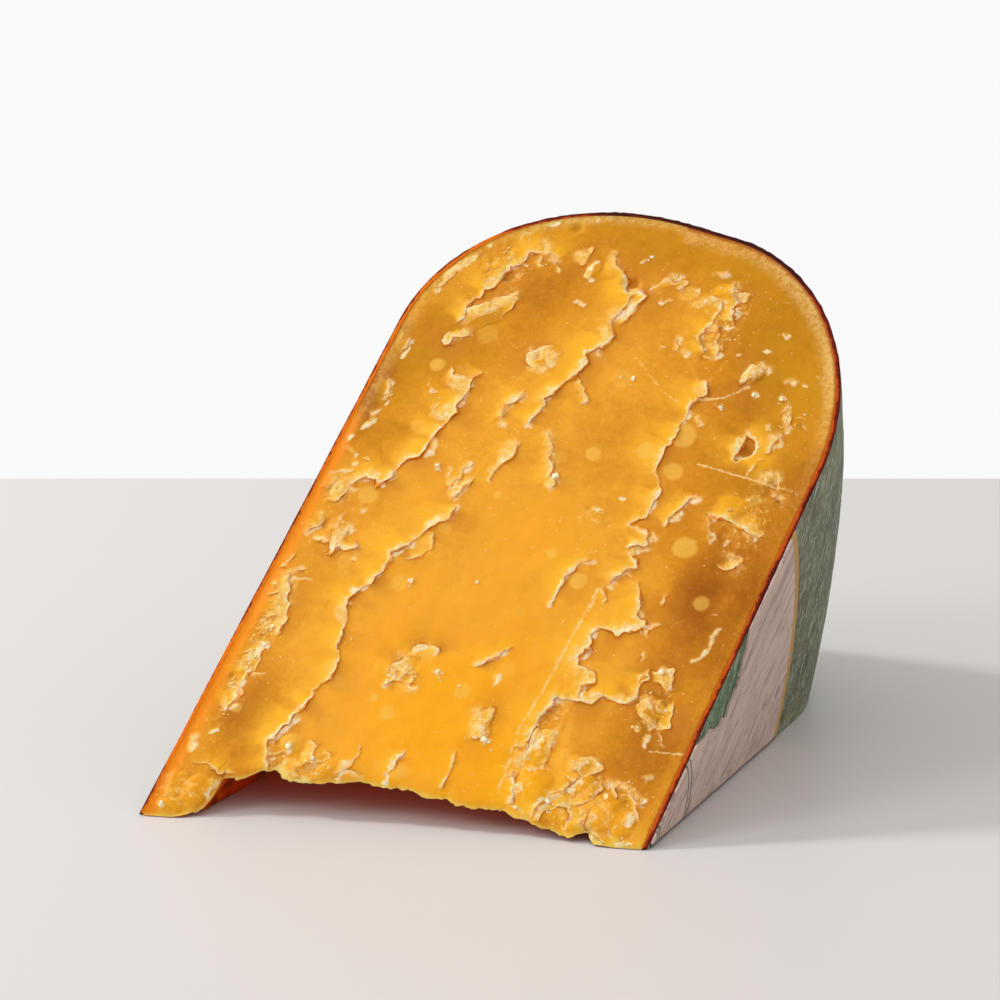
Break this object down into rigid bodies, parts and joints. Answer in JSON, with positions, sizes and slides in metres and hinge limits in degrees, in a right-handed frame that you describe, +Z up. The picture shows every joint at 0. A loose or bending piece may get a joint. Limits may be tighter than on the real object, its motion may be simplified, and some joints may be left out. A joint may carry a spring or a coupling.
{
  "type": "aged gouda cheese wedge",
  "caption": "Wedge of aged hard cheese with a torn, crystal-flecked cut face, a rounded green-coated rind and a plain paper label on one flat; lies on its other cut.",
  "frame": {"origin": "on the table under the middle of the piece's box", "axes": "+Z up, +Y from the broken tip to the wheel's rim, +X towards the labelled flat"},
  "size_m": [0.1392, 0.192, 0.1299],
  "materials": {
    "paste": "waxy, slightly translucent golden-orange paste, torn along ledges, with pale crystals and a green rind coating",
    "label_paper": "matt mauve-grey paper with darker diagonal streaks and a thin ochre border"
  },
  "bodies": {
    "root": {"cheese_wedge": "paste", "paper_label": "label_paper"}
  },
  "joints": []
}
